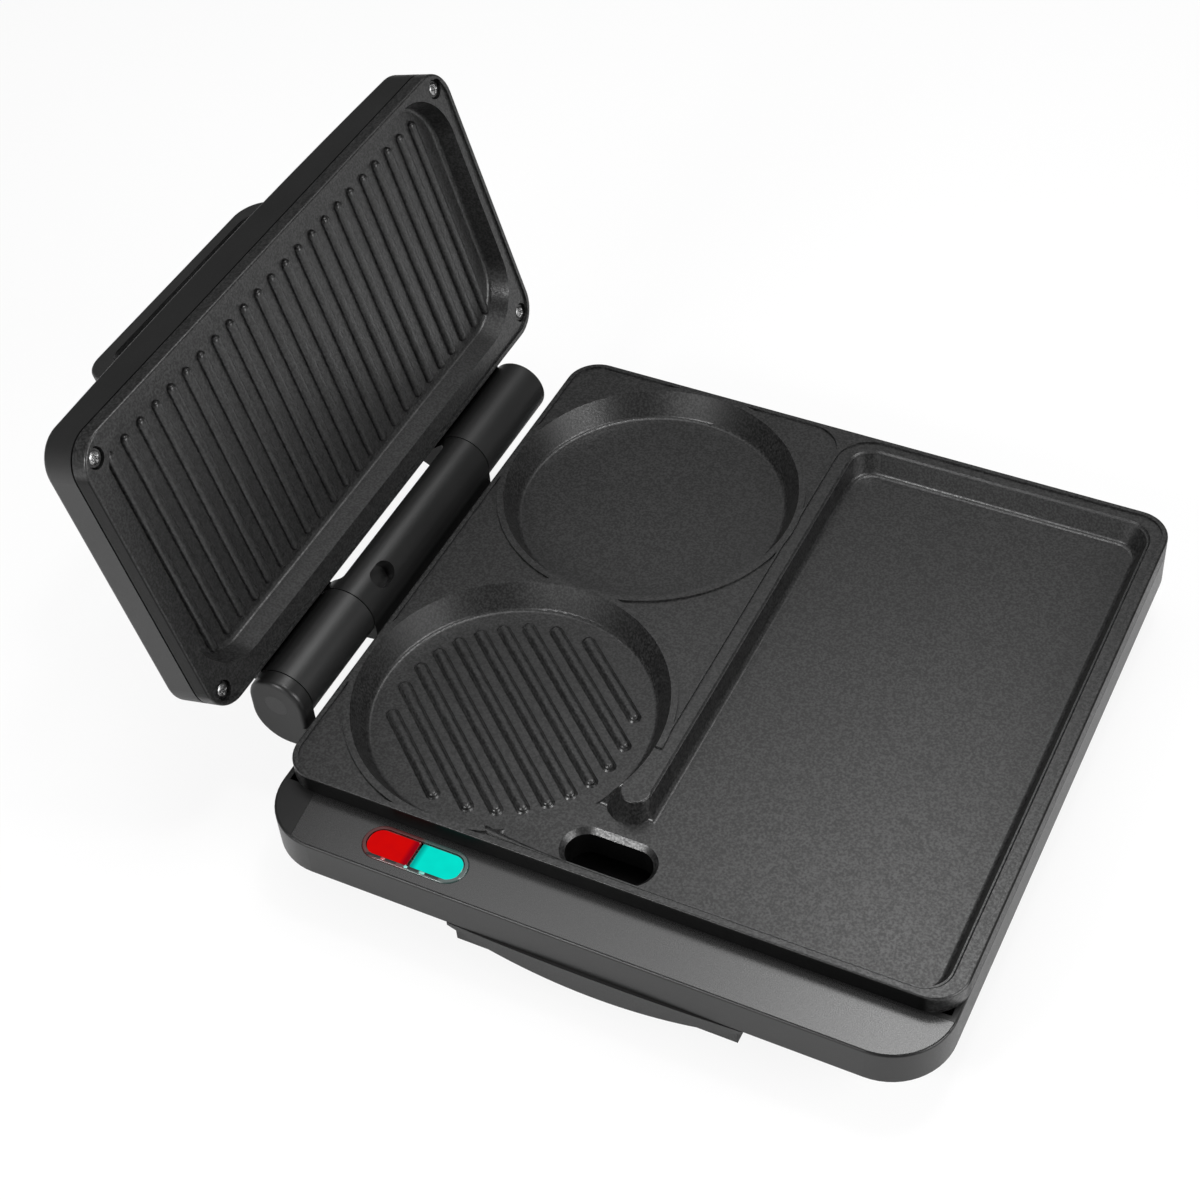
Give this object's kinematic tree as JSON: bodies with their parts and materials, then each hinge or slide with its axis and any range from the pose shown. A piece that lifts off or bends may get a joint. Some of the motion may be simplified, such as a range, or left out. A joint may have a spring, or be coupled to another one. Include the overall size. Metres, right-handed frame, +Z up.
{
  "type": "sandwich maker",
  "caption": "Countertop sandwich maker with a round-well cooking plate, a flat griddle, a hinged ribbed lid with a D handle and a pull-out drip tray, shown open.",
  "frame": {"origin": "middle of the whole part in plan with the lid open, on the surface that it stands on", "axes": "+X from the hinge side to the griddle side, +Y from the front panel to the back, +Z up"},
  "size_m": [0.3852, 0.2826, 0.1889],
  "materials": {
    "housing": "satin black moulded plastic",
    "cover": "black moulded plastic",
    "screw_steel": "plated steel",
    "lid_screw": "blackened steel",
    "foot_rubber": "black rubber",
    "nonstick": "dark grey non-stick coat on cast aluminium",
    "lid_nonstick": "dark grey non-stick coat on cast aluminium",
    "panel": "satin grey trim",
    "bezel": "glossy black window rim",
    "red_lens": "red lens",
    "green_lens": "blue-green lens",
    "lamp_holder": "white heat-proof plastic",
    "lamp_glass": "small glass lamp",
    "heater_steel": "oxidised steel sheath",
    "bead_ceramic": "unglazed ceramic",
    "reflector": "bright aluminium sheet",
    "thermostat": "pressed steel case",
    "fuse": "ceramic body",
    "block": "heat-proof plastic",
    "brass_screw": "brass",
    "lead": "silicone-sleeved wire",
    "rail_steel": "plated steel",
    "pin_steel": "ground steel",
    "hinge_cap": "black plastic",
    "tray": "black moulded plastic",
    "lid_shell": "satin black moulded plastic",
    "handle": "satin black moulded plastic"
  },
  "bodies": {
    "base": {"base_heater": "heater_steel", "base_housing": "housing", "base_leads": "lead", "base_reflector": "reflector", "block_screws": "brass_screw", "bottom_cover": "cover", "clamp_screws": "screw_steel", "cooking_plate": "nonstick", "cord_clamp": "block", "cord_inlet": "foot_rubber", "cover_screws": "screw_steel", "feet": "foot_rubber", "front_panel": "panel", "green_lamp": "lamp_glass", "green_lens": "green_lens", "heater_terminals": "bead_ceramic", "hinge_cap": "hinge_cap", "hinge_pin": "pin_steel", "lamp_holder": "lamp_holder", "lens_bezel": "bezel", "plate_screws": "screw_steel", "rail_screws": "screw_steel", "red_lamp": "lamp_glass", "red_lens": "red_lens", "terminal_block": "block", "thermal_fuse": "fuse", "thermostat": "thermostat", "tray_rails": "rail_steel"},
    "lid": {"handle": "handle", "handle_screws": "screw_steel", "lid_heater": "heater_steel", "lid_leads": "lead", "lid_plate": "lid_nonstick", "lid_reflector": "reflector", "lid_screws": "lid_screw", "lid_shell": "lid_shell", "lid_terminals": "bead_ceramic"},
    "drip_tray": {"drip_tray": "tray"}
  },
  "joints": [
    {"name": "lid_hinge", "type": "hinge", "parent": "base", "child": "lid", "pos_m": [-0.09743, 0, 0.0475], "axis": [0, 1, 0], "range_deg": [0, 104.8]},
    {"name": "tray_slide", "type": "slide", "parent": "base", "child": "drip_tray", "axis": [0, -1, 0], "range_m": [0, 0.09]}
  ]
}
